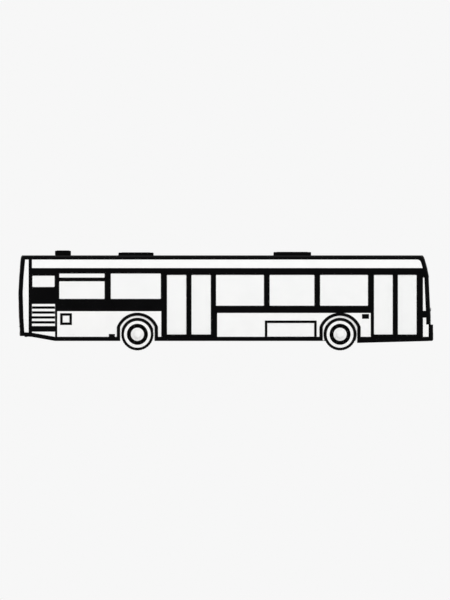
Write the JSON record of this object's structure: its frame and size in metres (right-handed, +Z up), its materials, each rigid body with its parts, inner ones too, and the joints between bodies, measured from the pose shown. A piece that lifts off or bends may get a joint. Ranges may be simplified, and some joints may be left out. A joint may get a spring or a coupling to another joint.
{
  "type": "city bus",
  "caption": "Two-axle low-entry city bus with white panels, black window bands and corner mouldings, inward-swinging double doors, and steered front wheels.",
  "frame": {"origin": "on the road under the middle of the body's length and width", "axes": "+X forward along the body, +Y to the bus's left, +Z up"},
  "size_m": [11.9995, 2.55, 2.8929],
  "materials": {
    "white_paint": "gloss",
    "black_paint": "satin",
    "black_rubber": "matte",
    "tinted_glass": "gloss",
    "tyre": "matte",
    "wheel_steel": "satin",
    "frame_steel": "matte",
    "floor_cover": "matte",
    "seat_shell": "matte",
    "rail_steel": "satin",
    "cab_trim": "matte",
    "head_lamp": "gloss",
    "tail_lamp": "gloss",
    "engine_iron": "matte"
  },
  "bodies": {
    "chassis": {"chassis_rails": "frame_steel", "cross_members": "frame_steel", "engine_cradle": "frame_steel", "service_tanks": "frame_steel", "floor_deck": "floor_cover", "side_wall_right": "white_paint", "side_wall_left": "white_paint", "window_bands": "black_paint", "skirt_mouldings": "black_rubber", "engine_louvres": "white_paint", "window_panes": "tinted_glass", "roof_panel": "white_paint", "roof_edges": "black_paint", "roof_unit": "black_paint", "front_surround": "black_paint", "front_panel": "white_paint", "windscreen": "tinted_glass", "front_bumper": "black_rubber", "headlamps": "head_lamp", "rear_surround": "black_paint", "rear_panel": "white_paint", "tail_lamps": "tail_lamp", "engine_block": "engine_iron", "front_axle": "frame_steel", "rear_axle": "frame_steel", "passenger_seats": "seat_shell", "grab_rails": "rail_steel", "driver_seat": "cab_trim", "dashboard": "cab_trim", "cab_partition": "cab_trim", "door_headers": "seat_shell"},
    "knuckle_right": {"knuckle_right": "frame_steel"},
    "knuckle_left": {"knuckle_left": "frame_steel"},
    "tie_rod": {"tie_rod": "frame_steel"},
    "front_wheel_right": {"tyre_front_right": "tyre", "rim_front_right": "wheel_steel"},
    "front_wheel_left": {"tyre_front_left": "tyre", "rim_front_left": "wheel_steel"},
    "rear_wheel_right": {"tyres_rear_right": "tyre", "rims_rear_right": "wheel_steel"},
    "rear_wheel_left": {"tyres_rear_left": "tyre", "rims_rear_left": "wheel_steel"},
    "door_post_middle_a": {"door_post_middle_a": "rail_steel"},
    "door_leaf_middle_a": {"door_leaf_middle_a": "black_paint", "door_glass_middle_a": "tinted_glass"},
    "door_post_middle_b": {"door_post_middle_b": "rail_steel"},
    "door_leaf_middle_b": {"door_leaf_middle_b": "black_paint", "door_glass_middle_b": "tinted_glass"},
    "door_post_front_a": {"door_post_front_a": "rail_steel"},
    "door_leaf_front_a": {"door_leaf_front_a": "black_paint", "door_glass_front_a": "tinted_glass"},
    "door_post_front_b": {"door_post_front_b": "rail_steel"},
    "door_leaf_front_b": {"door_leaf_front_b": "black_paint", "door_glass_front_b": "tinted_glass"},
    "fuel_flap": {"fuel_flap": "white_paint"},
    "side_flap": {"side_flap": "white_paint"},
    "engine_flap": {"engine_flap": "white_paint"},
    "roof_hatch_rear": {"roof_hatch_rear": "black_paint"},
    "roof_hatch_front": {"roof_hatch_front": "black_paint"}
  },
  "joints": [
    {"name": "steer_right", "type": "hinge", "parent": "chassis", "child": "knuckle_right", "pos_m": [3.3065, -0.894, 0.468], "axis": [0, 0, 1], "range_deg": [-45, 45]},
    {"name": "steer_left", "type": "hinge", "parent": "chassis", "child": "knuckle_left", "pos_m": [3.3065, 0.894, 0.468], "axis": [0, 0, 1], "range_deg": [-45, 45]},
    {"name": "tie_rod_end", "type": "hinge", "parent": "knuckle_right", "child": "tie_rod", "pos_m": [3.1165, -0.894, 0.25], "axis": [0, 0, 1], "range_deg": [-45, 45]},
    {"name": "front_wheel_right_spin", "type": "hinge", "parent": "knuckle_right", "child": "front_wheel_right", "pos_m": [3.3065, -1.1015, 0.468], "axis": [0, 1, 0], "continuous": true},
    {"name": "front_wheel_left_spin", "type": "hinge", "parent": "knuckle_left", "child": "front_wheel_left", "pos_m": [3.3065, 1.1015, 0.468], "axis": [0, 1, 0], "continuous": true},
    {"name": "rear_wheel_right_spin", "type": "hinge", "parent": "chassis", "child": "rear_wheel_right", "pos_m": [-2.5505, -1.1015, 0.468], "axis": [0, 1, 0], "continuous": true},
    {"name": "rear_wheel_left_spin", "type": "hinge", "parent": "chassis", "child": "rear_wheel_left", "pos_m": [-2.5505, 1.1015, 0.468], "axis": [0, 1, 0], "continuous": true},
    {"name": "middle_door_post_a", "type": "hinge", "parent": "chassis", "child": "door_post_middle_a", "pos_m": [-1.8155, -1.183, 0.345], "axis": [0, 0, 1], "range_deg": [0, 90]},
    {"name": "middle_door_leaf_a", "type": "hinge", "parent": "door_post_middle_a", "child": "door_leaf_middle_a", "pos_m": [-1.4215, -1.183, 0.345], "axis": [0, 0, 1], "range_deg": [-180, 0]},
    {"name": "middle_door_post_b", "type": "hinge", "parent": "chassis", "child": "door_post_middle_b", "pos_m": [-0.3095, -1.183, 0.345], "axis": [0, 0, 1], "range_deg": [-90, 0]},
    {"name": "middle_door_leaf_b", "type": "hinge", "parent": "door_post_middle_b", "child": "door_leaf_middle_b", "pos_m": [-0.7035, -1.183, 0.345], "axis": [0, 0, 1], "range_deg": [0, 180]},
    {"name": "front_door_post_a", "type": "hinge", "parent": "chassis", "child": "door_post_front_a", "pos_m": [4.1675, -1.183, 0.345], "axis": [0, 0, 1], "range_deg": [0, 90]},
    {"name": "front_door_leaf_a", "type": "hinge", "parent": "door_post_front_a", "child": "door_leaf_front_a", "pos_m": [4.55275, -1.183, 0.345], "axis": [0, 0, 1], "range_deg": [-180, 0]},
    {"name": "front_door_post_b", "type": "hinge", "parent": "chassis", "child": "door_post_front_b", "pos_m": [5.6385, -1.183, 0.345], "axis": [0, 0, 1], "range_deg": [-90, 0]},
    {"name": "front_door_leaf_b", "type": "hinge", "parent": "door_post_front_b", "child": "door_leaf_front_b", "pos_m": [5.25325, -1.183, 0.345], "axis": [0, 0, 1], "range_deg": [0, 180]},
    {"name": "fuel_flap_hinge", "type": "hinge", "parent": "chassis", "child": "fuel_flap", "pos_m": [-4.6975, -1.259, 0.9075], "axis": [0, 0, -1], "range_deg": [0, 95]},
    {"name": "side_flap_hinge", "type": "hinge", "parent": "chassis", "child": "side_flap", "pos_m": [1.8815, -1.259, 0.78], "axis": [-1, 0, 0], "range_deg": [0, 95]},
    {"name": "engine_flap_hinge", "type": "hinge", "parent": "chassis", "child": "engine_flap", "pos_m": [-5.97508, 0, 1.418], "axis": [0, 1, 0], "range_deg": [0, 90]},
    {"name": "roof_hatch_rear_hinge", "type": "hinge", "parent": "chassis", "child": "roof_hatch_rear", "pos_m": [-3.1, 0, 2.7563], "axis": [0, -1, 0], "range_deg": [0, 80]},
    {"name": "roof_hatch_front_hinge", "type": "hinge", "parent": "chassis", "child": "roof_hatch_front", "pos_m": [1.381, 0, 2.7563], "axis": [0, -1, 0], "range_deg": [0, 80]}
  ],
  "couplings": [
    {"joint": "steer_left", "follows": "steer_right", "ratio": 1},
    {"joint": "tie_rod_end", "follows": "steer_right", "ratio": -1},
    {"joint": "middle_door_leaf_a", "follows": "middle_door_post_a", "ratio": -2},
    {"joint": "middle_door_post_b", "follows": "middle_door_post_a", "ratio": -1},
    {"joint": "middle_door_leaf_b", "follows": "middle_door_post_a", "ratio": 2},
    {"joint": "front_door_leaf_a", "follows": "front_door_post_a", "ratio": -2},
    {"joint": "front_door_post_b", "follows": "front_door_post_a", "ratio": -1},
    {"joint": "front_door_leaf_b", "follows": "front_door_post_a", "ratio": 2}
  ]
}
